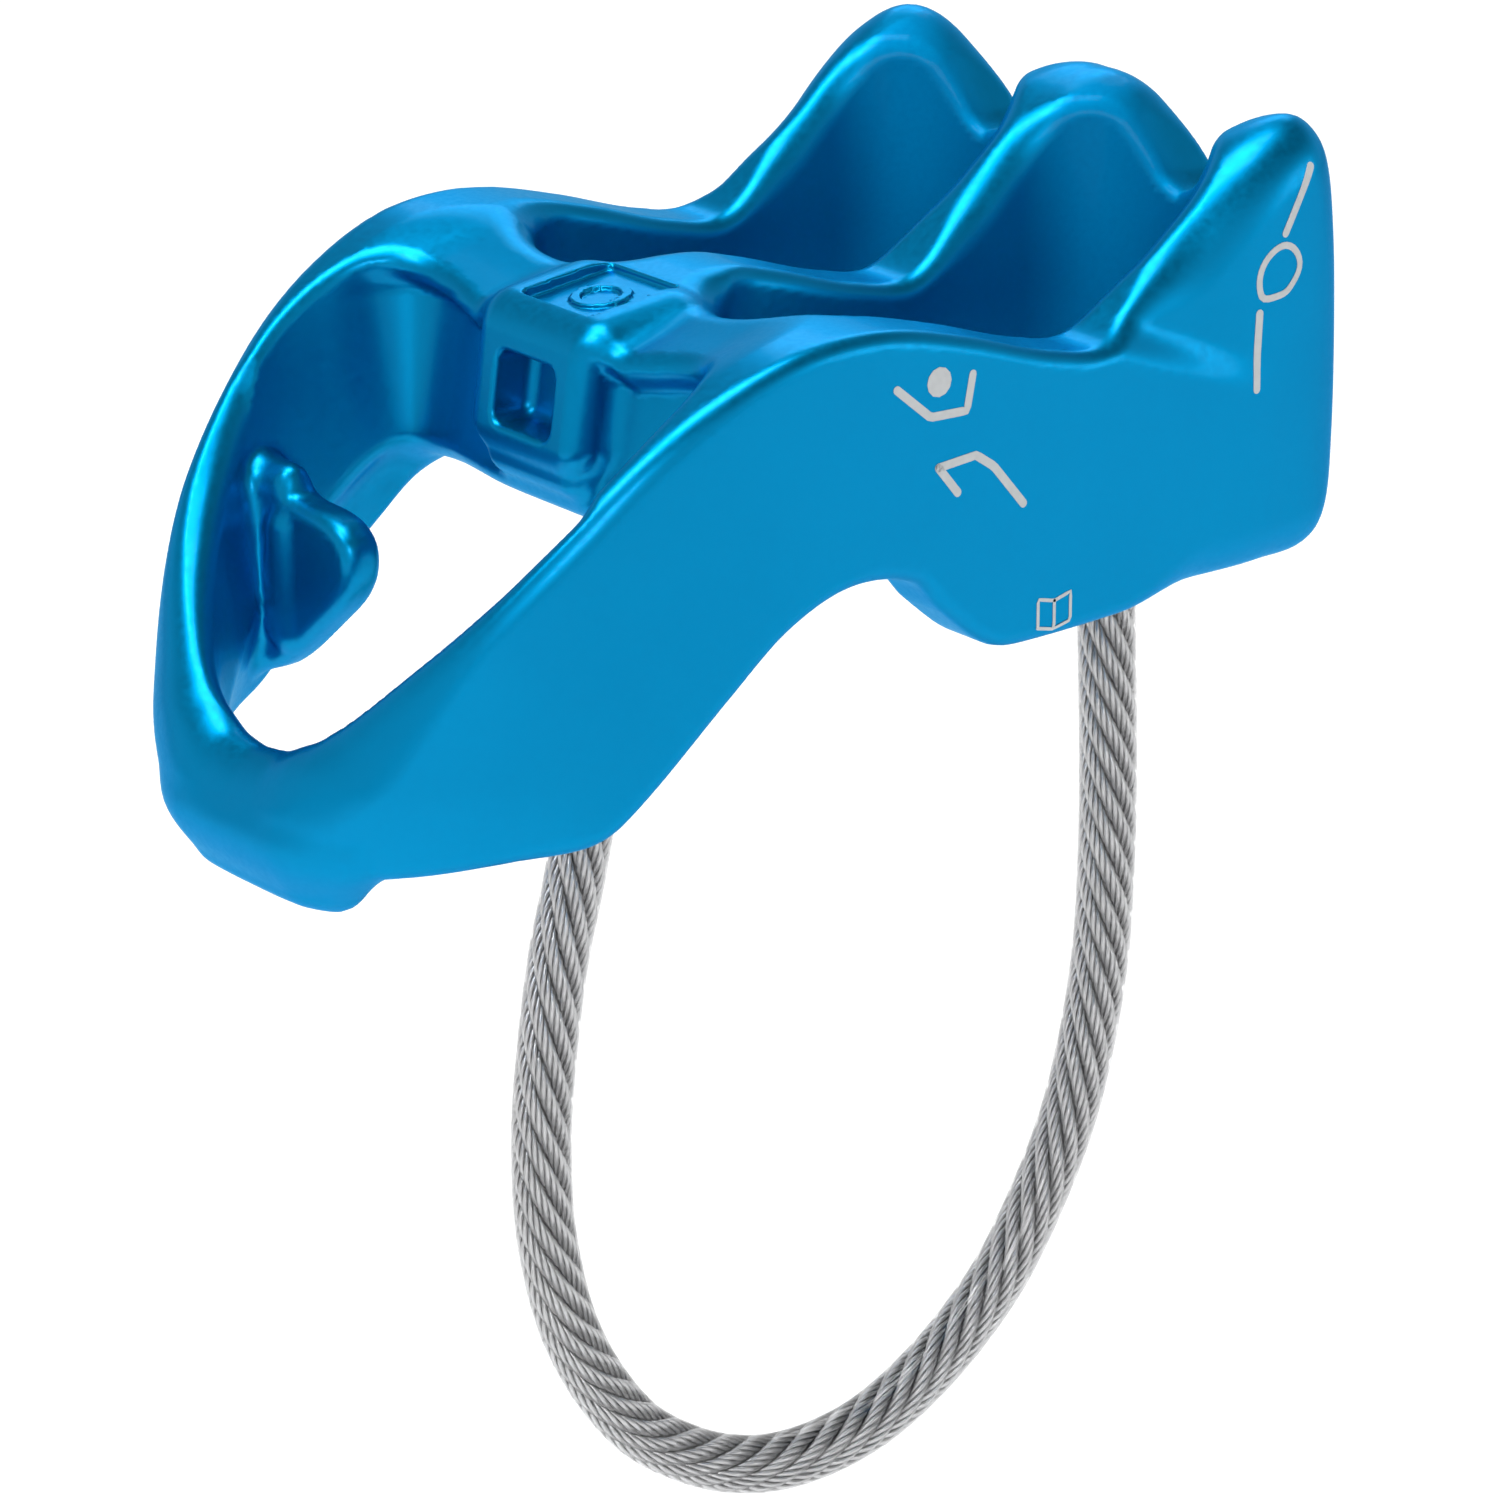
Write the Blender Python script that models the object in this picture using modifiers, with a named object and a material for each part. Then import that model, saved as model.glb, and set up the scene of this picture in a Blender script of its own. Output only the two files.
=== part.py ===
"""Tube-style belay device: one forged aluminium body and a keeper loop of jacketed wire rope.

Metres, +Z up. The origin is the centre of the anchor eye. +X runs from the eye to the horns, and the
body is symmetric about Y = 0 but for the one tooth in the eye. Outlines are written in millimetres
and scaled by MM.
"""

import math

import bmesh
import bpy
from mathutils import Vector

MM = 0.001

# Driving dimensions, in metres.
WALL_PITCH = 17.0 * MM
SLOT_WIDTH = 12.0 * MM
SLOT_START = 16.0 * MM
SLOT_END = 48.0 * MM
HALF_WIDTH = 19.4 * MM
SLOT_END_STEPS = 12
OUTLINE_STEPS = 3
SLOT_Y = WALL_PITCH / 2
CUT_LOW = -25.0 * MM
CUT_HIGH = 25.0 * MM
CUT_OVERSHOOT = 2.0 * MM
WELD_DISTANCE = 0.001 * MM
SMOOTH_ANGLE = math.radians(40)

# The pad with the square mark, on the block that stands into the eye.
PAD_CENTRE = Vector((13.0, 0.0, 13.0)) * MM
PAD_SLOPE = math.radians(6.5)
PAD_MARK_SIDE = 6.3 * MM
PAD_MARK_DEPTH = 0.3 * MM
PLATEAU_FORE = 9.0 * MM
PLATEAU_AFT = 6.5 * MM
PLATEAU_HALF_WIDTH = 13.6 * MM
BLOCK_FRONT = 8.1 * MM
BLOCK_BOTTOM = 3.6 * MM
BLOCK_LENGTH = 1.7 * MM
UNDER_BLOCK_HALF_WIDTH = 5.6 * MM
RECESS_SIDE = 5.2 * MM
RECESS_DEPTH = 1.6 * MM
RECESS_CENTRE_Z = 7.3 * MM

# The hollow beside the block, between it and each outer wall.
VALLEY_SLOPE = math.radians(15.0)
VALLEY_PIVOT = Vector((13.0, 0.0, 12.9)) * MM
VALLEY_LENGTH = 13.4 * MM
VALLEY_AFT = 3.0 * MM
VALLEY_INNER_Y = 5.4 * MM
VALLEY_OUTER_Y = 14.0 * MM
VALLEY_CUT_HEIGHT = 6.0 * MM

# The V grooves over the end bar.
GROOVE_HALF_WIDTH = 6.4 * MM
GROOVE_FLOOR_HALF = 1.2 * MM
GROOVE_FLOOR_Z = 13.8 * MM
GROOVE_TOP_Z = 21.6 * MM
GROOVE_START = 40.0 * MM
GROOVE_END = 58.0 * MM

# The tooth that stands into the eye from the wall at +Y.
TOOTH_THICKNESS = 2.4 * MM

# The foot under the nose.
FOOT_CENTRE = Vector((-10.4, 0.0, -14.6)) * MM
FOOT_SIZE = Vector((5.0, 11.0, 4.4)) * MM
FOOT_EDGE = 1.2 * MM
EDGE_STEPS = 2

# The keeper loop and its two anchors.
ROPE_RADIUS = 1.15 * MM
JACKET_RADIUS = 1.78 * MM
JACKET_WALL = 0.35 * MM
JACKET_SETBACK = 1.3 * MM
BORE_RADIUS = 2.1 * MM
SLEEVE_RADIUS = 1.8 * MM
SLEEVE_LENGTH = 7.0 * MM
SLEEVE_MOUTH = 0.5 * MM
BORE_DEPTH = 8.0 * MM
BORE_SIDES = 20
BOSS_RADIUS = 3.6 * MM
BOSS_SIDES = 24
BOSS_PROUD = 1.0 * MM
BOSS_DEPTH = 5.0 * MM
SPOT_FACE_RADIUS = 4.2 * MM
SPOT_FACE_DEPTH = 6.0 * MM
ROPE_END_GAP = 0.2 * MM
ROPE_STRAIGHT_END = 3.0 * MM
BRIDGE_ANCHOR = Vector((15.3, 0.0, -0.4)) * MM
BRIDGE_ANCHOR_LEAN = math.radians(14.0)
END_ANCHOR = Vector((51.0, 0.0, -5.2)) * MM
END_ANCHOR_LEAN = 0.0
ROUTE_STEPS = 56
GUIDE_STEPS = 12
TRIM_STEPS = 20
TUBE_STEPS = 2

SIDE_PROFILE = [
    (-14.0, -10.2), (-13.3, -7.6), (-11.6, -5.5), (-9.0, -1.9), (-5.4, 2.3), (-1.6, 6.1),
    (2.4, 9.6), (6.5, 12.1), (11.0, 13.8), (15.0, 14.3), (19.0, 14.0), (24.0, 12.7),
    (30.0, 10.8), (34.0, 10.4), (38.2, 13.4), (43.0, 17.5), (46.6, 19.8), (49.6, 20.5),
    (52.0, 18.9), (53.5, 14.0), (54.3, 7.0), (54.3, 1.5), (53.5, -3.0), (51.3, -5.3),
    (47.0, -5.6), (40.0, -5.6), (28.5, -5.9), (25.6, -5.5), (22.2, -2.9), (20.0, -0.7), (15.7, 0.0),
    (11.5, -1.5), (7.5, -4.9), (1.2, -11.0), (-0.6, -12.0), (-4.5, -12.6), (-10.8, -14.2),
    (-12.9, -14.2), (-13.8, -12.6),
]
PLAN_OUTLINE_HALF = [
    (-14.2, 0.0), (-14.1, 3.8), (-13.4, 6.6), (-12.0, 9.0), (-9.1, 12.2), (-5.4, 15.0),
    (-1.6, 16.8), (3.0, 18.1), (8.0, 18.9), (13.0, 19.3), (21.0, 19.4), (28.0, 19.4),
    (34.0, 19.4), (40.0, 19.4), (47.0, 19.4), (51.6, 18.6), (53.7, 16.0), (54.5, 8.0), (54.7, 0.0),
]
EYE_OUTLINE_HALF = [
    (-9.6, 0.0), (-9.5, 3.0), (-8.9, 5.5), (-7.6, 8.0), (-5.6, 10.4), (-3.2, 12.3),
    (-0.5, 13.8), (2.5, 14.8), (5.6, 15.0), (8.2, 13.8), (9.4, 11.0), (9.4, 5.4),
    (8.1, 4.8), (8.1, 0.0),
]
TOOTH_OUTLINE = [
    (15.2, 1.1), (6.4, 0.7), (5.0, -0.3), (4.7, -1.9), (5.4, -3.6), (7.3, -5.5),
    (12.2, -9.4), (15.2, -9.8),
]
ROPE_ROUTE = [
    (13.7, -7.5), (12.3, -14.5), (10.75, -21.5), (9.55, -26.1), (8.6, -32.1), (8.2, -37.0),
    (8.55, -43.4), (10.45, -50.3), (14.5, -56.7), (19.0, -60.3), (23.7, -62.4), (28.3, -63.0), (33.1, -62.3),
    (37.8, -60.1), (42.1, -56.8), (44.84, -53.6), (48.2, -47.8), (49.94, -42.9), (51.2, -36.6),
    (51.6, -30.2), (51.6, -23.7), (51.3, -15.9),
]


def clear_scene():
    for obj in list(bpy.data.objects):
        bpy.data.objects.remove(obj, do_unlink=True)


def new_collection(name, hidden=False):
    collection = bpy.data.collections.new(name)
    bpy.context.scene.collection.children.link(collection)
    collection.hide_render = hidden
    return collection


def principled(name, colour, metallic, roughness, alpha=1.0):
    material = bpy.data.materials.new(name)
    material.use_nodes = True
    shader = material.node_tree.nodes["Principled BSDF"]
    shader.inputs["Base Color"].default_value = (*colour, 1.0)
    shader.inputs["Metallic"].default_value = metallic
    shader.inputs["Roughness"].default_value = roughness
    shader.inputs["Alpha"].default_value = alpha
    return material


def place(obj, collection):
    for old in list(obj.users_collection):
        old.objects.unlink(obj)
    collection.objects.link(obj)
    if collection is CUTTERS:
        obj.hide_render = True
        obj.display_type = "WIRE"


def as_mesh(source, collection):
    """Replaces a curve or a modified object by its evaluated mesh, with loose caps welded."""
    bpy.context.view_layer.update()
    graph = bpy.context.evaluated_depsgraph_get()
    mesh = bpy.data.meshes.new_from_object(source.evaluated_get(graph))
    name = source.name
    matrix = source.matrix_world.copy()
    bpy.data.objects.remove(source, do_unlink=True)
    shape = bmesh.new()
    shape.from_mesh(mesh)
    bmesh.ops.remove_doubles(shape, verts=shape.verts, dist=WELD_DISTANCE)
    bmesh.ops.recalc_face_normals(shape, faces=shape.faces)
    shape.to_mesh(mesh)
    shape.free()
    obj = bpy.data.objects.new(name, mesh)
    obj.matrix_world = matrix
    place(obj, collection)
    return obj


def outline_solid(name, outline, thickness, smooth, location=(0, 0, 0), rotation=(0, 0, 0)):
    """A closed flat outline, in millimetres, filled and extruded by half the thickness each way."""
    curve = bpy.data.curves.new(name, "CURVE")
    curve.dimensions = "2D"
    curve.fill_mode = "BOTH"
    curve.extrude = thickness / 2
    curve.resolution_u = OUTLINE_STEPS
    if smooth:
        spline = curve.splines.new("BEZIER")
        spline.bezier_points.add(len(outline) - 1)
        for point, (across, up) in zip(spline.bezier_points, outline):
            point.co = (across * MM, up * MM, 0)
            point.handle_left_type = "AUTO"
            point.handle_right_type = "AUTO"
    else:
        spline = curve.splines.new("POLY")
        spline.points.add(len(outline) - 1)
        for point, (across, up) in zip(spline.points, outline):
            point.co = (across * MM, up * MM, 0, 1)
    spline.use_cyclic_u = True
    obj = bpy.data.objects.new(name, curve)
    obj.location = location
    obj.rotation_euler = rotation
    CUTTERS.objects.link(obj)
    return as_mesh(obj, CUTTERS)


def mirrored(half):
    """A whole outline from the half at +Y, whose first and last points lie on Y = 0."""
    return half + [(x, -y) for x, y in reversed(half[1:-1])]


def box(name, low, high, rotation_y=0.0, pivot=(0, 0, 0), edge=0.0):
    """A box between two corners given from the pivot, turned about the pivot's Y line."""
    shape = bmesh.new()
    low, high = Vector(low), Vector(high)
    bmesh.ops.create_cube(shape, size=1.0)
    bmesh.ops.scale(shape, vec=high - low, verts=shape.verts)
    bmesh.ops.translate(shape, vec=(low + high) / 2, verts=shape.verts)
    mesh = bpy.data.meshes.new(name)
    shape.to_mesh(mesh)
    shape.free()
    obj = bpy.data.objects.new(name, mesh)
    obj.location = pivot
    obj.rotation_euler = (0, rotation_y, 0)
    place(obj, CUTTERS)
    if edge:
        bevel = obj.modifiers.new("edges", "BEVEL")
        bevel.width = edge
        bevel.segments = EDGE_STEPS
        bevel.limit_method = "NONE"
    return obj


def cylinder(name, radius, low, high, anchor, lean, collection, sides=BORE_SIDES):
    """A cylinder on the line through an anchor, leaning from +Z towards +X by the angle given."""
    shape = bmesh.new()
    bmesh.ops.create_cone(
        shape, cap_ends=True, segments=sides, radius1=radius, radius2=radius, depth=high - low
    )
    bmesh.ops.translate(shape, vec=(0, 0, (low + high) / 2), verts=shape.verts)
    mesh = bpy.data.meshes.new(name)
    shape.to_mesh(mesh)
    shape.free()
    mesh.shade_smooth()
    mesh.set_sharp_from_angle(angle=SMOOTH_ANGLE)
    obj = bpy.data.objects.new(name, mesh)
    obj.location = anchor
    obj.rotation_euler = (0, lean, 0)
    place(obj, collection)
    return obj


def boolean(obj, other, operation):
    modifier = obj.modifiers.new(other.name, "BOOLEAN")
    modifier.object = other
    modifier.operation = operation
    modifier.solver = "EXACT"


def slot_outline():
    """A round-ended rope slot, in millimetres, about its own centre."""
    radius = SLOT_WIDTH / 2 / MM
    half_straight = (SLOT_END - SLOT_START) / 2 / MM - radius
    points = []
    for side in (1, -1):
        for step in range(SLOT_END_STEPS + 1):
            angle = math.pi * (step / SLOT_END_STEPS - 0.5)
            points.append((side * (half_straight + radius * math.cos(angle)),
                           side * radius * math.sin(angle)))
    return points


def make_body():
    along_y = (math.radians(90), 0, 0)
    facing_x = (math.radians(90), 0, math.radians(90))
    width = 2 * (HALF_WIDTH + CUT_OVERSHOOT)
    body = outline_solid("forged_body", SIDE_PROFILE, width, True, rotation=along_y)
    place(body, PARTS)
    body.hide_render = False
    body.display_type = "TEXTURED"
    body.data.materials.append(BLUE)

    height = CUT_HIGH - CUT_LOW
    boolean(body, outline_solid("plan", mirrored(PLAN_OUTLINE_HALF), height, True), "INTERSECT")
    plateau = box(
        "plateau",
        (-PLATEAU_FORE, -PLATEAU_HALF_WIDTH, 0),
        (PLATEAU_AFT, PLATEAU_HALF_WIDTH, VALLEY_CUT_HEIGHT),
        -PAD_SLOPE,
        PAD_CENTRE,
    )
    boolean(body, plateau, "DIFFERENCE")
    for side, name in SIDES:
        inner, outer = sorted((side * VALLEY_INNER_Y, side * VALLEY_OUTER_Y))
        valley = box(
            "valley_" + name,
            (-VALLEY_LENGTH, inner, 0),
            (VALLEY_AFT, outer, VALLEY_CUT_HEIGHT),
            -VALLEY_SLOPE,
            VALLEY_PIVOT,
        )
        boolean(body, valley, "DIFFERENCE")
    boolean(body, outline_solid("eye", mirrored(EYE_OUTLINE_HALF), height, False), "DIFFERENCE")
    under_block = box(
        "under_block",
        (BLOCK_FRONT - BLOCK_LENGTH, -UNDER_BLOCK_HALF_WIDTH, CUT_LOW),
        (BLOCK_FRONT + BLOCK_LENGTH, UNDER_BLOCK_HALF_WIDTH, BLOCK_BOTTOM),
    )
    boolean(body, under_block, "DIFFERENCE")

    middle = (SLOT_START + SLOT_END) / 2
    for side, name in SIDES:
        slot = outline_solid(
            "slot_" + name, slot_outline(), height, False, location=(middle, side * SLOT_Y, 0)
        )
        boolean(body, slot, "DIFFERENCE")
        groove_profile = [
            (-GROOVE_FLOOR_HALF, GROOVE_FLOOR_Z), (GROOVE_FLOOR_HALF, GROOVE_FLOOR_Z),
            (GROOVE_HALF_WIDTH, GROOVE_TOP_Z), (GROOVE_HALF_WIDTH, CUT_HIGH),
            (-GROOVE_HALF_WIDTH, CUT_HIGH), (-GROOVE_HALF_WIDTH, GROOVE_TOP_Z),
        ]
        groove = outline_solid(
            "groove_" + name,
            [(across / MM, up / MM) for across, up in groove_profile],
            GROOVE_END - GROOVE_START,
            False,
            location=((GROOVE_START + GROOVE_END) / 2, side * SLOT_Y, 0),
            rotation=facing_x,
        )
        boolean(body, groove, "DIFFERENCE")
    tooth = outline_solid("tooth", TOOTH_OUTLINE, TOOTH_THICKNESS, True, rotation=facing_x)
    boolean(body, tooth, "UNION")
    foot = box(
        "foot", FOOT_CENTRE - FOOT_SIZE / 2, FOOT_CENTRE + FOOT_SIZE / 2, edge=FOOT_EDGE
    )
    boolean(body, foot, "UNION")
    half_mark = PAD_MARK_SIDE / 2
    mark = box(
        "pad_mark",
        (-half_mark, -half_mark, -PAD_MARK_DEPTH),
        (half_mark, half_mark, CUT_OVERSHOOT),
        -PAD_SLOPE,
        PAD_CENTRE,
    )
    boolean(body, mark, "DIFFERENCE")
    half_recess = RECESS_SIDE / 2
    recess = box(
        "block_recess",
        (BLOCK_FRONT - CUT_OVERSHOOT, -half_recess, RECESS_CENTRE_Z - half_recess),
        (BLOCK_FRONT + RECESS_DEPTH, half_recess, RECESS_CENTRE_Z + half_recess),
    )
    boolean(body, recess, "DIFFERENCE")

    for name, anchor, lean in ANCHORS:
        boss = cylinder(
            "boss_" + name, BOSS_RADIUS, -BOSS_PROUD, BOSS_DEPTH, anchor, lean, CUTTERS, BOSS_SIDES
        )
        spot_face = cylinder(
            "spot_face_" + name,
            SPOT_FACE_RADIUS,
            -SPOT_FACE_DEPTH,
            0,
            anchor,
            lean,
            CUTTERS,
            BOSS_SIDES,
        )
        bore = cylinder("bore_" + name, BORE_RADIUS, -BOSS_DEPTH, BORE_DEPTH, anchor, lean, CUTTERS)
        boolean(body, boss, "UNION")
        boolean(body, spot_face, "DIFFERENCE")
        boolean(body, bore, "DIFFERENCE")


def rope_points():
    """Evenly stepped points on the smooth curve through the route and its two anchors."""
    ends = []
    for _, anchor, lean in ANCHORS:
        axis = Vector((math.sin(lean), 0, math.cos(lean)))
        ends.append((anchor - ROPE_END_GAP * axis, anchor - ROPE_STRAIGHT_END * axis))
    knots = [*ends[0], *(Vector((x * MM, 0, z * MM)) for x, z in ROPE_ROUTE), ends[1][1], ends[1][0]]
    curve = bpy.data.curves.new("rope_guide", "CURVE")
    curve.dimensions = "3D"
    curve.resolution_u = GUIDE_STEPS
    spline = curve.splines.new("BEZIER")
    spline.bezier_points.add(len(knots) - 1)
    for point, knot in zip(spline.bezier_points, knots):
        point.co = knot
        point.handle_left_type = "AUTO"
        point.handle_right_type = "AUTO"
    guide = bpy.data.objects.new("rope_guide", curve)
    CUTTERS.objects.link(guide)
    bpy.context.view_layer.update()
    fine = [vertex.co.copy() for vertex in guide.to_mesh().vertices]
    guide.to_mesh_clear()
    bpy.data.objects.remove(guide, do_unlink=True)
    return evenly(fine, ROUTE_STEPS)


def evenly(points, steps):
    """Points at equal steps of length along a chain of points."""
    reach = [0.0]
    for before, after in zip(points, points[1:]):
        reach.append(reach[-1] + (after - before).length)
    spaced = []
    place_in_chain = 0
    for step in range(steps + 1):
        target = reach[-1] * step / steps
        while place_in_chain < len(points) - 2 and reach[place_in_chain + 1] < target:
            place_in_chain += 1
        span = reach[place_in_chain + 1] - reach[place_in_chain]
        share = (target - reach[place_in_chain]) / span
        spaced.append(points[place_in_chain].lerp(points[place_in_chain + 1], share))
    return spaced


def trimmed(points, length):
    """The chain of points without the given length at each end."""
    total = sum((after - before).length for before, after in zip(points, points[1:]))
    steps = len(points) - 1
    fine = evenly(points, steps * TRIM_STEPS)
    skip = round(length / total * steps * TRIM_STEPS)
    return evenly(fine[skip : len(fine) - skip], steps)


def tube(name, points, radius, material, capped):
    curve = bpy.data.curves.new(name, "CURVE")
    curve.dimensions = "3D"
    curve.bevel_depth = radius
    curve.bevel_resolution = TUBE_STEPS
    curve.use_fill_caps = capped
    spline = curve.splines.new("POLY")
    spline.points.add(len(points) - 1)
    for point, co in zip(spline.points, points):
        point.co = (*co, 1)
    curve.materials.append(material)
    obj = bpy.data.objects.new(name, curve)
    PARTS.objects.link(obj)
    return obj


def make_keeper_loop():
    points = rope_points()
    tube("wire_rope", points, ROPE_RADIUS, STEEL, True)
    jacket = tube(
        "clear_jacket", trimmed(points, JACKET_SETBACK - ROPE_END_GAP), JACKET_RADIUS, CLEAR, False
    )
    wall = jacket.modifiers.new("wall", "SOLIDIFY")
    wall.thickness = JACKET_WALL
    wall.offset = -1


def make_sleeves():
    for name, anchor, lean in ANCHORS:
        sleeve = cylinder(
            "crimp_sleeve_" + name,
            SLEEVE_RADIUS,
            SLEEVE_MOUTH,
            SLEEVE_MOUTH + SLEEVE_LENGTH,
            anchor,
            lean,
            PARTS,
        )
        sleeve.data.materials.append(STEEL)


clear_scene()
PARTS = new_collection("belay_device")
CUTTERS = new_collection("cutters", hidden=True)
BLUE = principled("blue_anodised", (0.0, 0.24, 0.52), 1.0, 0.32)
STEEL = principled("steel", (0.55, 0.55, 0.56), 1.0, 0.35)
CLEAR = principled("clear_plastic", (0.86, 0.88, 0.88), 0.0, 0.2, alpha=0.4)
SIDES = ((1, "left"), (-1, "right"))
ANCHORS = (
    ("bridge", BRIDGE_ANCHOR, BRIDGE_ANCHOR_LEAN),
    ("end", END_ANCHOR, END_ANCHOR_LEAN),
)
make_body()
make_sleeves()
make_keeper_loop()
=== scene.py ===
import math

import bmesh
import bpy
import numpy as np
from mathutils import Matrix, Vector


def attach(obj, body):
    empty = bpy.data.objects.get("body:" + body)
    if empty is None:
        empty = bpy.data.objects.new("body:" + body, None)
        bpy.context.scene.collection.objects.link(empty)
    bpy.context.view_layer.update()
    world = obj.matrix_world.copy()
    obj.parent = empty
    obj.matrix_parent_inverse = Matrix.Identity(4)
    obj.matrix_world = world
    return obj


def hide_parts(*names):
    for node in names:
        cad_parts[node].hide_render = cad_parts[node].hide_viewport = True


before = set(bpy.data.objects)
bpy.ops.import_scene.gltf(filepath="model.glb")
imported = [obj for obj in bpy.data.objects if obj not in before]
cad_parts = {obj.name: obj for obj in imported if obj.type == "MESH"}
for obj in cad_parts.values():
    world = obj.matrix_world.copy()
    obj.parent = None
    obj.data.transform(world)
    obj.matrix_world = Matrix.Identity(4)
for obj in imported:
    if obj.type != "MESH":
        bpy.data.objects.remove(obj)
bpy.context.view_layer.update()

MM = 0.001

# Shape of the body, in millimetres from the centre of the eye. It follows the CAD solid, with the
# curves, drafts and hollows that the faceted solid doesn't have.
SIDE_PROFILE = [
    (-14.0, -10.2), (-13.3, -7.6), (-11.6, -5.5), (-9.0, -1.9), (-5.4, 2.3), (-1.6, 6.1),
    (2.4, 9.6), (6.5, 12.1), (11.0, 13.8), (15.0, 14.3), (19.0, 14.0), (24.0, 12.7),
    (30.0, 10.8), (34.0, 10.4), (38.2, 13.4), (43.0, 17.5), (46.6, 19.8), (49.6, 20.5),
    (52.0, 18.9), (53.5, 14.0), (54.3, 7.0), (54.3, 1.5), (53.5, -3.0), (51.3, -5.3),
    (47.0, -5.6), (40.0, -5.6), (28.5, -5.9), (25.6, -5.5), (22.2, -2.9), (20.0, -0.7),
    (15.7, 0.0), (11.5, -1.5), (7.5, -4.9), (1.2, -11.0), (-0.6, -12.0), (-4.5, -12.6),
    (-10.8, -14.2), (-12.9, -14.2), (-13.8, -12.6),
]
PLAN_OUTLINE_HALF = [
    (-14.2, 0.0), (-14.05, 4.3), (-13.6, 5.9), (-12.6, 7.8), (-11.0, 10.1), (-8.6, 12.7),
    (-5.4, 15.0), (-1.6, 16.8), (3.0, 18.1), (8.0, 18.9), (13.0, 19.3), (21.0, 19.4),
    (28.0, 19.4), (34.0, 19.4), (40.0, 19.4), (47.0, 19.4), (51.6, 18.6), (53.7, 16.0),
    (54.5, 8.0), (54.7, 0.0),
]
EYE_RIM_HALF = [
    (-10.6, 0.0), (-10.45, 2.7), (-10.15, 5.2), (-9.5, 7.1), (-7.8, 9.7), (-5.8, 11.8),
    (-3.6, 13.5), (-1.2, 14.9), (1.2, 15.7), (3.8, 15.9), (6.6, 15.6), (8.9, 14.5),
    (10.0, 12.8), (10.2, 10.6), (9.8, 8.0), (9.3, 5.0), (9.2, 0.0),
]
TOOTH_OUTLINE = [
    (14.6, 1.1), (9.5, 1.0), (6.4, 0.7), (5.0, -0.3), (4.7, -1.9), (5.4, -3.6), (7.3, -5.5),
    (12.2, -9.4), (14.4, -9.6),
]
UNDER_BRIDGE_OUTLINE = [
    (1.8, -5.0), (3.2, -3.0), (4.9, -1.2), (6.7, 0.2), (8.8, 1.0), (11.5, 0.5), (15.0, -0.2),
    (17.5, -2.5), (17.0, -14.0), (8.0, -16.0), (1.8, -14.0),
]
SLOT_START, SLOT_END, SLOT_Y, SLOT_RADIUS = 16.4, 48.0, 8.5, 6.0
BRIDGE_ANCHOR, BRIDGE_LEAN = (15.3, -0.4), math.radians(14.0)
END_ANCHOR, END_LEAN = (51.0, -5.2), 0.0
# Mouth and lean of the two bores that hold the keeper loop, and the radius of the boss round each.
KEEPER_ENDS = ((BRIDGE_ANCHOR, BRIDGE_LEAN, 3.6), (END_ANCHOR, END_LEAN, 3.0))
BORE_RADIUS, SPOT_FACE_RADIUS = 2.1, 4.2
PAD_CENTRE = (13.0, 13.0)
PAD_SLOPE = math.radians(6.5)
HOLLOW_CENTRE_Z = 12.3
HOLLOW_SLOPE = math.radians(15.0)
MARK_HALF_SIDE, MARK_HALF_DEPTH = 3.15, 0.35
RING_RADIUS, RING_HALF_WIDTH, RING_HALF_HEIGHT = 1.45, 0.32, 0.2
BLOCK_FRONT, BLOCK_BACK, BLOCK_LEAN = 8.1, 16.0, 0.14
BLOCK_HALF_WIDTH, BLOCK_HALF_HEIGHT = 5.1, 4.0
CHIN_CENTRE, CHIN_HALVES = (11.2, 0.0, 4.2), (3.6, 4.4, 1.7)
RECESS_CENTRE_Z, RECESS_HALVES = 8.0, (2.8, 2.6, 2.1)
EYE_DRAFT, UNDER_DRAFT, PARTING_SOFTNESS = 2.1, 1.9, 0.05
EYE_UNDERCUT = 1.7
UNDER_BRIDGE_HALF_WIDTH = 15.0
GROOVE_FLOOR_Z, GROOVE_FLOOR_HALF, GROOVE_FLARE, GROOVE_START = 14.2, 0.6, 0.72, 40.0
SLOT_FLARE = 1.1
TOOTH_HALF_THICKNESS = 1.3
RIB_PLACE, RIB_HALF_LENGTH, RIB_RADIUS = (0.0, 12.9, 1.6), 1.0, 1.05
COLUMN_PLACE, COLUMN_HALF_LENGTH, COLUMN_RADIUS = (-1.0, 11.2, -3.8), 3.0, 0.95
FOOT_SOLE_Z, FOOT_TOP_Z, FOOT_AFT = -16.7, -12.4, -8.8


def smooth_loop(points, steps=16):
    """A smooth closed curve through the points."""
    p = np.array(points, float)
    before, after, beyond = np.roll(p, 1, 0), np.roll(p, -1, 0), np.roll(p, -2, 0)
    t = np.linspace(0, 1, steps, endpoint=False)[:, None]
    spans = []
    for a, b, c, d in zip(before, p, after, beyond):
        # A tangent as long as the span's own chord keeps uneven spacing free of overshoot.
        reach = np.linalg.norm(c - b)
        out_b = (c - a) / np.linalg.norm(c - a) * reach
        into_c = (d - b) / np.linalg.norm(d - b) * reach
        spans.append(
            (2 * t**3 - 3 * t**2 + 1) * b + (t**3 - 2 * t**2 + t) * out_b
            + (-2 * t**3 + 3 * t**2) * c + (t**3 - t**2) * into_c
        )
    return np.concatenate(spans)


def mirrored(half):
    return half + [(x, -y) for x, y in reversed(half[1:-1])]


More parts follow.
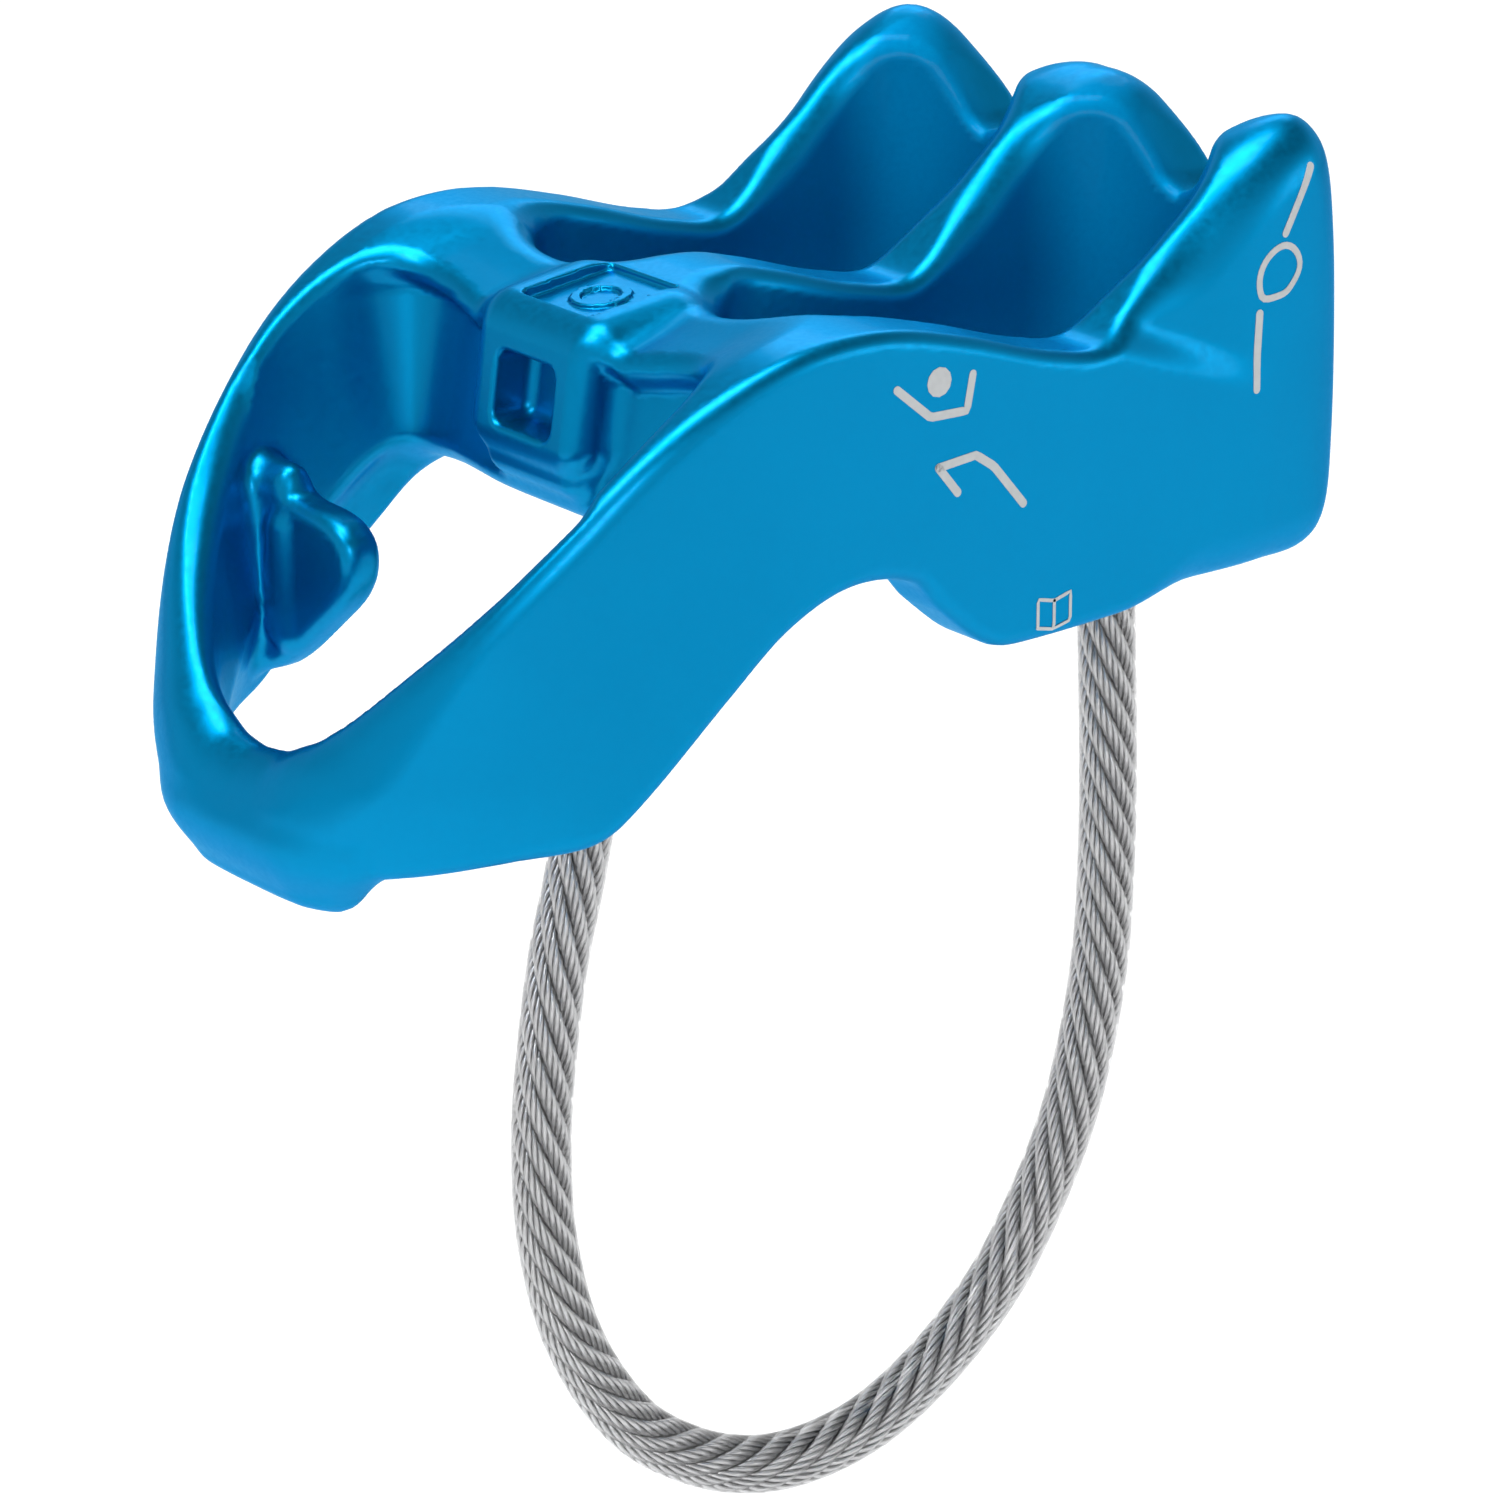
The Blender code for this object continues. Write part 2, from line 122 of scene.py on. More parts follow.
class Outline:
    """The signed distance to a smooth closed outline, tabulated once and read bicubically."""

    CELL = 0.25
    MARGIN = 5.0

    def __init__(self, points):
        loop = smooth_loop(points)
        self.low = loop.min(0) - self.MARGIN
        size = np.ceil((loop.max(0) + self.MARGIN - self.low) / self.CELL).astype(int) + 1
        u = self.low[0] + self.CELL * np.arange(size[0])
        v = self.low[1] + self.CELL * np.arange(size[1])
        grid = np.stack(np.meshgrid(u, v, indexing="ij"), -1).reshape(-1, 2)
        self.table = np.concatenate(
            [self._distance(part, loop) for part in np.array_split(grid, len(grid) // 4000 + 1)]
        ).reshape(size)

    @staticmethod
    def _distance(points, loop):
        a, b = loop, np.roll(loop, -1, 0)
        along = b - a
        offset = points[:, None] - a
        share = np.clip((offset * along).sum(-1) / (along**2).sum(-1), 0, 1)
        nearest = np.sqrt(((offset - share[..., None] * along) ** 2).sum(-1).min(1))
        above_a, above_b = points[:, 1:] < a[:, 1], points[:, 1:] < b[:, 1]
        rise = np.where(along[:, 1] == 0, 1, along[:, 1])
        crossing_x = a[:, 0] + offset[..., 1] * along[:, 0] / rise
        inside = ((above_a != above_b) & (points[:, :1] < crossing_x)).sum(1) % 2
        return np.where(inside, -nearest, nearest)

    def __call__(self, u, v):
        u, v = np.broadcast_arrays(u, v)
        last = np.array(self.table.shape) - 3
        place = [(u - self.low[0]) / self.CELL, (v - self.low[1]) / self.CELL]
        cell = [np.clip(np.floor(p).astype(int), 1, n) for p, n in zip(place, last)]
        weights = []
        for p, c in zip(place, cell):
            t = np.clip(p - c, -1, 2)
            weights.append(
                (
                    -0.5 * t**3 + t**2 - 0.5 * t,
                    1.5 * t**3 - 2.5 * t**2 + 1,
                    -1.5 * t**3 + 2 * t**2 + 0.5 * t,
                    0.5 * t**3 - 0.5 * t**2,
                )
            )
        total = 0
        for i in range(4):
            for j in range(4):
                corner = self.table[cell[0] + i - 1, cell[1] + j - 1]
                total = total + weights[0][i] * weights[1][j] * corner
        return total


def join(a, b, radius):
    """Union of two distances, with a concave fillet."""
    reach_a, reach_b = np.maximum(radius - a, 0), np.maximum(radius - b, 0)
    return np.maximum(radius, np.minimum(a, b)) - np.sqrt(reach_a**2 + reach_b**2)


def meet(a, b, radius):
    """Intersection of two distances, with a rounded edge."""
    reach_a, reach_b = np.maximum(radius + a, 0), np.maximum(radius + b, 0)
    return np.minimum(-radius, np.maximum(a, b)) + np.sqrt(reach_a**2 + reach_b**2)


def cut(a, b, radius):
    return meet(a, -b, radius)


def ramp(low, high, value):
    t = np.clip((value - low) / (high - low), 0, 1)
    return t * t * (3 - 2 * t)


def box_distance(offsets, halves, radius):
    """Distance to a round-edged box from the offsets to its centre along its own axes."""
    outside = [np.abs(o) - h + radius for o, h in zip(offsets, halves)]
    squares = sum(np.maximum(q, 0) ** 2 for q in outside)
    inner = outside[0]
    for q in outside[1:]:
        inner = np.maximum(inner, q)
    return np.sqrt(squares) + np.minimum(inner, 0) - radius


SIDE = Outline(SIDE_PROFILE)
PLAN = Outline(mirrored(PLAN_OUTLINE_HALF))
EYE_RIM = Outline(mirrored(EYE_RIM_HALF))
TOOTH = Outline(TOOTH_OUTLINE)
UNDER_BRIDGE = Outline(UNDER_BRIDGE_OUTLINE)


def smooth_function(points, spread=1.5):
    """A height as a smooth function of one coordinate, from a few points."""
    step = 0.05
    known = np.array(points, float)
    at = np.arange(known[0, 0], known[-1, 0], step)
    weights = np.hanning(round(2 * spread / step) + 1)
    half = len(weights) // 2
    padded = np.pad(np.interp(at, known[:, 0], known[:, 1]), half, mode="edge")
    heights = np.convolve(padded, weights / weights.sum(), mode="valid")
    return lambda value: np.interp(value, at, heights)


# Heights along X of the arms' crest, the forging's parting line and the arms' lower edge.
CREST = smooth_function(
    [(-14, -8), (-9.0, -1.9), (-1.6, 6.1), (6.5, 12.1), (11.0, 13.8), (15.0, 14.3), (60, 14)]
)
PARTING = smooth_function(
    [(-14, -12.2), (-9, -9.5), (-4, -6.5), (1, -3.6), (5, -0.9), (8.5, 1.9), (12, 2.6), (60, 2.6)]
)
KEEL = smooth_function(
    [(-14, -14.5), (-4.5, -12.8), (1.2, -11.0), (7.5, -4.9), (11.5, -1.5), (60, -0.5)]
)
# Height across Y of the saddle that the nose's top makes between the two arms.
SADDLE = smooth_function(
    [
        (-3, -8.4), (0, -8.4), (2.5, -8.1), (5.2, -6.5), (7, -4.9), (8.4, -3.4), (9.6, -2.0),
        (10.7, -0.6), (11.8, 0.8), (12.6, 2.0), (13.5, 3.4), (14.3, 4.9), (15.6, 8.0),
        (17, 12.0), (22, 27.0),
    ],
    1.0,
)


def body_distance(x, y, z):
    """Signed distance to the forging, negative inside."""
    across = np.abs(y)

    # The outer form: the side profile met by the plan outline, and horns set in above a crease.
    crease = 10.8 - 0.38 * (x - 32)
    inset = 1.0 * ramp(27, 34, x) * (1 - ramp(35, 48, x)) * ramp(-0.5, 2.2, z - crease)
    outer = PLAN(x, across) + inset + 0.03 * np.maximum(-8 - z, 0) ** 2 * (1 - ramp(-9, 0, x))
    nose = (1 - ramp(-13, -5, x)) * ramp(-13.5, -8, z)
    edge = 1.2 - 0.2 * ramp(4, 14, x) + 2.3 * ramp(35, 42, x) + 2.4 * nose
    solid = meet(SIDE(x, z), outer, edge)
    saddle = (z - SADDLE(across) - 30 * ramp(-1, 7, x)) / 1.6
    solid = meet(solid, saddle, 2.6)

    # The top of the bridge: a sloped pad in the middle and a hollow on each side of it.
    pad_top = PAD_CENTRE[1] + math.tan(PAD_SLOPE) * (x - PAD_CENTRE[0])
    hollow_top = HOLLOW_CENTRE_Z + math.tan(HOLLOW_SLOPE) * (x - PAD_CENTRE[0])
    hollow_share = ramp(4.0, 7.0, across) * (1 - ramp(12.0, 24.0, x))
    bridge_top = pad_top + np.minimum(hollow_top - pad_top, 0) * hollow_share
    shoulder = 0.14 * np.maximum(across - 5.5, 0) + 0.05 * np.maximum(across - 11.5, 0) ** 2
    above = (bridge_top + shoulder - z) * 0.95
    trough = meet(above, x - 23.5, 1.0)
    solid = cut(solid, trough, 0.7)

    # The eye, whose wall drafts in to the parting line and out again below it.
    crest, parting, keel = CREST(x), PARTING(x), KEEL(x)
    upper = EYE_DRAFT * np.maximum((crest - z) / (crest - parting), 0)
    lower = EYE_DRAFT - UNDER_DRAFT * np.minimum((parting - z) / (parting - keel), 1.2)
    draft = (upper + lower - np.sqrt((upper - lower) ** 2 + PARTING_SOFTNESS)) / 2
    draft = draft * (0.4 + 0.6 * ramp(-11, -5, x))
    undercut = EYE_UNDERCUT * ramp(0.6, 2.8, bridge_top + shoulder - z) * ramp(5, 8.5, x)
    eye = EYE_RIM(x - undercut, across) + draft
    under = meet(UNDER_BRIDGE(x, z), across - UNDER_BRIDGE_HALF_WIDTH, 2.0)
    solid = cut(solid, eye, 0.75)
    solid = cut(solid, under, 1.3)

    # The block that stands into the eye.
    front = BLOCK_FRONT - BLOCK_LEAN * (PAD_CENTRE[1] - z)
    below_pad = z - pad_top
    block = box_distance(
        (x - (front + BLOCK_BACK) / 2, y, below_pad + BLOCK_HALF_HEIGHT),
        ((BLOCK_BACK - front) / 2, BLOCK_HALF_WIDTH, BLOCK_HALF_HEIGHT),
        1.5,
    )
    solid = join(solid, block, 1.1)
    chin = box_distance([v - at for v, at in zip((x, y, z), CHIN_CENTRE)], CHIN_HALVES, 1.5)
    solid = join(solid, chin, 0.8)

    # The two rope slots and the V grooves over the end bar.
    slot_y = across - SLOT_Y
    half = (SLOT_END - SLOT_START) / 2 - SLOT_RADIUS
    slot_x = np.abs(x - (SLOT_START + SLOT_END) / 2) - half
    flare = SLOT_FLARE * ramp(8, 20, z) * ramp(28, 36, x) * (1 - 0.6 * ramp(40, 52, x))
    slot = np.where(slot_x > 0, np.hypot(slot_x, slot_y), np.abs(slot_y)) - SLOT_RADIUS - flare
    floor = GROOVE_FLOOR_Z - 0.10 * np.maximum(x - SLOT_END, 0)
    groove_side = np.abs(slot_y) - GROOVE_FLOOR_HALF - GROOVE_FLARE * (z - floor)
    groove_side = groove_side / math.hypot(1, GROOVE_FLARE)
    groove = meet(meet(groove_side, floor - z, 1.2), GROOVE_START - x, 1.0)
    solid = cut(solid, groove, 1.0 + 1.6 * ramp(15, 19, z))
    lip = 1.1 + 1.4 * (1 - ramp(16, 22, x)) + 0.9 * ramp(35, 40, x) - 1.1 * ramp(42, 47, x)
    solid = cut(solid, slot, lip)

    # The tooth in the eye, with a short rib on the wall above its root.
    tooth = meet(TOOTH(y, z), np.abs(x) - TOOTH_HALF_THICKNESS, 0.9)
    solid = join(solid, tooth, 1.4)
    dx, dy, dz = (v - at for v, at in zip((x, y, z), RIB_PLACE))
    beyond = np.maximum(np.abs(dy) - RIB_HALF_LENGTH, 0)
    solid = join(solid, np.sqrt(beyond**2 + dx**2 + dz**2) - RIB_RADIUS, 0.8)
    dx, dy, dz = (v - at for v, at in zip((x, y, z), COLUMN_PLACE))
    beyond = np.maximum(np.abs(dz) - COLUMN_HALF_LENGTH, 0)
    solid = join(solid, np.sqrt(beyond**2 + dx**2 + dy**2) - COLUMN_RADIUS, 0.7)

    # The foot under the nose, which carries on the nose's front face down to a flat end.
    sole = FOOT_SOLE_Z + 0.26 * np.maximum(across - 5.4, 0) ** 2 - z
    foot = meet(meet(outer + 0.3, sole, 1.1), x - FOOT_AFT, 1.1)
    foot = meet(foot, z - FOOT_TOP_Z, 1.0)
    solid = join(solid, foot, 1.6)

    # The bosses and the bores that take the two ends of the keeper loop.
    for (anchor_x, anchor_z), lean, radius in KEEPER_ENDS:
        up = (x - anchor_x) * math.sin(lean) + (z - anchor_z) * math.cos(lean)
        from_anchor = (x - anchor_x) ** 2 + y**2 + (z - anchor_z) ** 2
        from_axis = np.sqrt(np.maximum(from_anchor - up**2, 0))
        boss = meet(from_axis - radius, np.abs(up - 2.5) - 2.5, 0.5)
        spot_face = meet(from_axis - SPOT_FACE_RADIUS, np.abs(up + 3.0) - 3.0, 0.3)
        bore = meet(from_axis - BORE_RADIUS, np.abs(up - 2.5) - 5.5, 0.2)
        solid = cut(cut(join(solid, boss, 0.9), spot_face, 0.3), bore, 0.3)

    # The square mark on the pad, a plain raised ring in it, and the recess in the block's front.
    depth = below_pad * math.cos(PAD_SLOPE)
    pad_x = (x - PAD_CENTRE[0]) / math.cos(PAD_SLOPE)
    mark = box_distance((pad_x, y), (MARK_HALF_SIDE, MARK_HALF_SIDE), 0.5)
    mark = meet(mark, np.abs(depth) - MARK_HALF_DEPTH, 0.15)
    solid = cut(solid, mark, 0.15)
    ring = np.abs(np.hypot(pad_x, y) - RING_RADIUS) - RING_HALF_WIDTH
    ring = meet(ring, np.abs(depth + 0.3) - RING_HALF_HEIGHT, 0.08)
    solid = join(solid, ring, 0.08)
    recess = box_distance((x - front, y, z - RECESS_CENTRE_Z), RECESS_HALVES, 0.8)
    solid = cut(solid, recess, 0.35)
    return solid


def surface_net(distance, low, high, step):
    """Vertices and quads of the zero surface of a distance function, one vertex a cell."""
    axes = [np.arange(a, b + step, step) for a, b in zip(low, high)]
    x, y, z = axes[0][:, None, None], axes[1][None, :, None], axes[2][None, None, :]
    values = np.broadcast_to(distance(x, y, z), [len(a) for a in axes])
    inside = values < 0
    corners = [(i, j, k) for i in (0, 1) for j in (0, 1) for k in (0, 1)]
    shape = [n - 1 for n in values.shape]

    def shifted(array, corner):
        return array[tuple(slice(c, c + n) for c, n in zip(corner, shape))]

    count = sum(shifted(inside, c).astype(np.int8) for c in corners)
    active = np.argwhere((count > 0) & (count < 8))
    index = -np.ones(shape, int)
    index[tuple(active.T)] = np.arange(len(active))
    at_corner = {c: values[tuple((active + c).T)] for c in corners}
    total = np.zeros((len(active), 3))
    hits = np.zeros(len(active))
    for a in corners:
        for axis in range(3):
            if a[axis]:
                continue
            b = tuple(1 if n == axis else c for n, c in enumerate(a))
            va, vb = at_corner[a], at_corner[b]
            crosses = (va < 0) != (vb < 0)
            share = np.where(crosses, va / np.where(crosses, va - vb, 1), 0)
            point = np.array(a, float) + share[:, None] * np.eye(3)[axis]
            total += np.where(crosses[:, None], point, 0)
            hits += crosses
    points = np.array(low) + step * (active + total / hits[:, None])

    quads = []
    for axis in range(3):
        u, v = [n for n in range(3) if n != axis]
        core = [slice(1, n) for n in shape]
        core[axis] = slice(0, shape[axis])
        start = inside[tuple(core)]
        core[axis] = slice(1, shape[axis] + 1)
        end = inside[tuple(core)]
        edges = np.argwhere(start != end)
        edges[:, [u, v]] += 1
        grows = start[tuple((edges - np.eye(3, dtype=int)[u] - np.eye(3, dtype=int)[v]).T)]
        cells = []
        for du, dv in ((1, 1), (0, 1), (0, 0), (1, 0)):
            cell = edges.copy()
            cell[:, u] -= du
            cell[:, v] -= dv
            cells.append(index[tuple(cell.T)])
        ring = np.stack(cells, 1)
        flip = grows if axis != 1 else ~grows
        ring[~flip] = ring[~flip][:, ::-1]
        quads.append(ring)
    return points, np.concatenate(quads)


def gradient(distance, points, reach=0.02):
    slopes = []
    for axis in range(3):
        ahead, behind = points.copy(), points.copy()
        ahead[:, axis] += reach
        behind[:, axis] -= reach
        slopes.append((distance(*ahead.T) - distance(*behind.T)) / (2 * reach))
    return np.stack(slopes, 1)


def settle(distance, points, rounds=3, most=0.3):
    """Moves points onto the zero surface."""
    for _ in range(rounds):
        slope = gradient(distance, points)
        move = distance(*points.T)[:, None] * slope / np.maximum((slope**2).sum(1), 0.25)[:, None]
        points = points - np.clip(move, -most, most)
    return points


# ---- camera and cord -------------------------------------------------------------------------

CAMERA_PLACE = (-0.2159, -0.2960, 0.1230)
CAMERA_AZIMUTH = math.radians(-38.985)
CAMERA_ELEVATION = math.radians(20.133)
CAMERA_LENS = 168.0

ROPE_ROUTE = [
    (13.7, -7.5), (12.3, -14.5), (10.75, -21.5), (9.55, -26.1), (8.6, -32.1), (8.2, -37.0),
    (8.55, -43.4), (10.45, -50.3), (14.5, -56.7), (19.0, -60.3), (23.7, -62.4), (28.3, -63.0),
    (33.1, -62.3), (37.8, -60.1), (42.1, -56.8), (44.84, -53.6), (48.2, -47.8), (49.94, -42.9),
    (51.2, -36.6), (51.6, -30.2), (51.6, -23.7), (51.3, -15.9),
]
ROPE_END_GAP = 0.2
ROUTE_STEP = 0.5
JACKET_SETBACK = 1.3
JACKET_RADIUS = 1.78
JACKET_SIDES = 24
CORE_RADIUS = 0.5
STRANDS = 6
STRAND_CIRCLE = 0.86
STRAND_PITCH = 14.0
WIRES = 6
WIRE_CIRCLE = 0.285
WIRE_PITCH = -5.2
WIRE_RADIUS = 0.15


def make_camera():
    camera = bpy.data.cameras.new("photo_camera")
    camera.lens = CAMERA_LENS
    camera.sensor_width = 36
    camera.clip_start = 0.01
    camera.clip_end = 20
    holder = bpy.data.objects.new("photo_camera", camera)
    holder.location = CAMERA_PLACE
    back = Vector(
        (
            math.sin(CAMERA_AZIMUTH) * math.cos(CAMERA_ELEVATION),
            -math.cos(CAMERA_AZIMUTH) * math.cos(CAMERA_ELEVATION),
            math.sin(CAMERA_ELEVATION),
        )
    )
    holder.rotation_mode = "QUATERNION"
    holder.rotation_quaternion = (-back).to_track_quat("-Z", "Y")
    bpy.context.scene.collection.objects.link(holder)
    bpy.context.scene.camera = holder


def add_object(name, points, faces, smooth=True):
    """A mesh object from points in millimetres."""
    mesh = bpy.data.meshes.new(name)
    mesh.from_pydata((np.asarray(points, float) * MM).tolist(), [], [list(f) for f in faces])
    mesh.polygons.foreach_set("use_smooth", [smooth] * len(mesh.polygons))
    piece = bpy.data.objects.new(name, mesh)
    bpy.context.scene.collection.objects.link(piece)
    return piece


def chain_length(chain):
    """The length along the chain up to each of its points."""
    return np.concatenate([[0], np.cumsum(np.linalg.norm(np.diff(chain, axis=0), axis=1))])


def evenly(chain, spacing):
    reach = chain_length(chain)
    at = np.linspace(0, reach[-1], max(2, round(reach[-1] / spacing) + 1))
    return np.stack([np.interp(at, reach, chain[:, axis]) for axis in range(chain.shape[1])], 1)


def rope_route():
    """The keeper loop's centreline, in the plane of symmetry, as (x, z)."""
    knots = []
    for anchor, lean, _ in KEEPER_ENDS:
        axis = np.array((math.sin(lean), math.cos(lean)))
        knots.append([np.array(anchor) + along * axis for along in (3, -ROPE_END_GAP, -3)])
    knots = [*knots[0], *ROPE_ROUTE, *knots[1][::-1]]
    steps = 24
    loop = smooth_loop(knots, steps)
    # The first and last knots stand inside the bores and only give the ends their direction.
    return evenly(loop[steps : (len(knots) - 2) * steps + 1], ROUTE_STEP)


def sweep(route, offsets, radius, sides):
    """A tube round the route displaced by offsets = (towards +Y, towards the loop's inner side)."""
    tangent = np.gradient(route, axis=0)
    tangent /= np.linalg.norm(tangent, axis=1)[:, None]
    across = np.array((0.0, 1.0, 0.0))
    inward = np.stack([tangent[:, 1], np.zeros(len(route)), -tangent[:, 0]], 1)
    centre = np.stack([route[:, 0], np.zeros(len(route)), route[:, 1]], 1)
    centre = centre + offsets[0][:, None] * across + offsets[1][:, None] * inward
    along = np.gradient(centre, axis=0)
    along /= np.linalg.norm(along, axis=1)[:, None]
    side = across - (along @ across)[:, None] * along
    side /= np.linalg.norm(side, axis=1)[:, None]
    up = np.cross(along, side)
    angles = 2 * math.pi * np.arange(sides) / sides
    rings = (
        centre[:, None]
        + radius * np.cos(angles)[None, :, None] * side[:, None]
        + radius * np.sin(angles)[None, :, None] * up[:, None]
    )
    faces = []
    for i in range(len(route) - 1):
        for j in range(sides):
            k = (j + 1) % sides
            faces.append((i * sides + j, i * sides + k, (i + 1) * sides + k, (i + 1) * sides + j))
    faces.append(tuple(range(sides))[::-1])
    faces.append(tuple((len(route) - 1) * sides + j for j in range(sides)))
    return rings.reshape(-1, 3), faces


def make_keeper_loop():
    route = rope_route()
    reach = chain_length(route)
    points, faces = [], []

    def add(tube):
        start = sum(len(p) for p in points)
        points.append(tube[0])
        faces.extend(tuple(n + start for n in face) for face in tube[1])

    still = np.zeros(len(route))
    add(sweep(route, (still, still), CORE_RADIUS, 6))
    for strand in range(STRANDS):
        turn = 2 * math.pi * (strand / STRANDS + reach / STRAND_PITCH)
        for wire in range(WIRES):
            twist = 2 * math.pi * (wire / WIRES + strand / 7 + reach / WIRE_PITCH)
            offsets = (
                STRAND_CIRCLE * np.cos(turn) + WIRE_CIRCLE * np.cos(twist),
                STRAND_CIRCLE * np.sin(turn) + WIRE_CIRCLE * np.sin(twist),
            )
            add(sweep(route, offsets, WIRE_RADIUS, 5))
    rope = add_object("wire_rope_strands", np.concatenate(points), faces)

    skip = int(np.searchsorted(reach, JACKET_SETBACK))
    covered = route[skip : len(route) - skip]
    still = np.zeros(len(covered))
    tube = sweep(covered, (still, still), JACKET_RADIUS, JACKET_SIDES)
    jacket = add_object("clear_jacket_tube", *tube)
    path = [(x * MM, 0.0, z * MM) for x, z in covered[::2]]
    return rope, jacket, path, chain_length(covered)[-1] * MM


make_camera()
rope, jacket, jacket_path, jacket_length = make_keeper_loop()
for piece, node, finish in (
    (rope, "wire_rope", "steel_rope"),
    (jacket, "clear_jacket", "clear_jacket"),
):
    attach(piece, "keeper_loop")
    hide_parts(node)

# ---- body and marks --------------------------------------------------------------------------

NET_STEP = 0.40
NET_BOX = ((-15.6, -20.6, -18.2), (56.2, 20.6, 22.6))
# The block's pad and recess, whose small details need a finer mesh.
FINE_REGION = ((6.5, -4.4, 3.4), (17.2, 4.4, 14.6))
MARK_PROUD = 0.03
MARK_THICKNESS = 0.12
WALL_SEARCH_START, WALL_SEARCH_STEPS, WALL_SEARCH_SHARE = -21.0, 60, 0.9


def make_body():
    points, quads = surface_net(body_distance, *NET_BOX, NET_STEP)
    points = settle(body_distance, points)
    body = add_object("forged_body_smooth", points, quads)
    work = bmesh.new()
    work.from_mesh(body.data)
    low, high = (Vector(corner) * MM for corner in FINE_REGION)
    fine = [
        edge
        for edge in work.edges
        if all(all(a < v < b for a, v, b in zip(low, vert.co, high)) for vert in edge.verts)
    ]
    bmesh.ops.subdivide_edges(work, edges=fine, cuts=1, use_grid_fill=True)
    work.to_mesh(body.data)
    work.free()
    count = len(body.data.vertices)
    placed = np.empty(count * 3)
    body.data.vertices.foreach_get("co", placed)
    settled = settle(body_distance, placed.reshape(-1, 3) / MM)
    body.data.vertices.foreach_set("co", (settled * MM).ravel())
    normals = gradient(body_distance, settled)
    normals /= np.linalg.norm(normals, axis=1)[:, None]
    body.data.polygons.foreach_set("use_smooth", [True] * len(body.data.polygons))
    body.data.normals_split_custom_set_from_vertices(normals.tolist())
    return body


def on_outer_wall(x, z):
    """The Y of the near wall's outer face, found by stepping inwards from beside the body."""
    y = np.full(len(x), WALL_SEARCH_START)
    for _ in range(WALL_SEARCH_STEPS):
        y = y + np.maximum(body_distance(x, y, z), 0) * WALL_SEARCH_SHARE
    return y


def stroke(route, width):
    """The outline of one pen stroke with round ends, as (x, z)."""
    line = evenly(np.array(route, float), 0.3)
    along = np.gradient(line, axis=0)
    along /= np.linalg.norm(along, axis=1)[:, None]
    side = np.stack([-along[:, 1], along[:, 0]], 1) * width / 2
    cap = np.linspace(0, math.pi, 7)[1:-1, None]
    start_cap = line[0] + np.cos(cap) * -side[0] - np.sin(cap) * along[0] * width / 2
    end_cap = line[-1] + np.cos(cap) * side[-1] + np.sin(cap) * along[-1] * width / 2
    return np.concatenate([line + side, end_cap, (line - side)[::-1], start_cap])


def make_marks(name, strokes):
    """Thin closed solids on the near wall, one for each (route, width)."""
    points, faces = [], []
    for route, width in strokes:
        rim = stroke(route, width)
        y = on_outer_wall(rim[:, 0], rim[:, 1])
        start = sum(len(p) for p in points)
        count = len(rim)
        top = np.stack([rim[:, 0], y - MARK_PROUD, rim[:, 1]], 1)
        points += [top, top + (0, MARK_THICKNESS, 0)]
        faces.append(tuple(start + n for n in range(count)))
        faces.append(tuple(start + count + n for n in reversed(range(count))))
        for n in range(count):
            m = (n + 1) % count
            faces.append((start + n, start + count + n, start + count + m, start + m))
    marks = add_object(name, np.concatenate(points), faces, smooth=False)
    work = bmesh.new()
    work.from_mesh(marks.data)
    bmesh.ops.recalc_face_normals(work, faces=work.faces)
    bmesh.ops.triangulate(work, faces=[face for face in work.faces if len(face.verts) > 4])
    work.to_mesh(marks.data)
    work.free()
    return marks


def disc(x, z, radius):
    return [((x - 0.01, z), (x + 0.01, z)), 2 * radius]


body = make_body()
climber_mark = make_marks(
    "laser_mark_climber_side",
    [
        [[(18.2, 10.9), (20.6, 8.9), (23.2, 8.8), (23.6, 10.8)], 0.5],
        disc(21.2, 10.8, 0.85),
        [[(21.2, 5.9), (23.9, 6.1), (25.2, 5.2), (27.4, 2.6)], 0.5],
        [[(21.2, 5.9), (22.6, 4.2)], 0.5],
    ],
)
hand_mark = make_marks(
    "laser_mark_hand_side",
    [
        [[(48.8, 18.1), (46.8, 14.6)], 0.5],
        [[(45.0, 10.2), (44.8, 5.8)], 0.5],
        [
            [
                *smooth_loop(
                    [
                        (45.1, 11.2), (45.2, 13.0), (46.8, 13.9), (48.0, 12.7), (47.2, 11.3),
                        (46.2, 11.0),
                    ],
                    8,
                ),
                (45.1, 11.2),
            ],
            0.4,
        ],
    ],
)
book_mark = make_marks(
    "laser_mark_booklet",
    [
        [
            [
                (28.6, -5.0), (28.6, -3.3), (29.8, -3.6), (31.0, -3.3), (31.0, -5.0), (29.8, -5.3),
                (28.6, -5.0),
            ],
            0.2,
        ],
        [[(29.8, -3.6), (29.8, -5.3)], 0.2],
    ],
)
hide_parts("forged_body")
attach(body, "body")
for piece in (climber_mark, hand_mark, book_mark):
    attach(piece, "body")

# ---- materials -------------------------------------------------------------------------------


def make_material(name, **values):
    material = bpy.data.materials.new(name)
    material.use_nodes = True
    shader = material.node_tree.nodes["Principled BSDF"]
    for socket, value in values.items():
        shader.inputs[socket.replace("_", " ")].default_value = value
    return material, shader


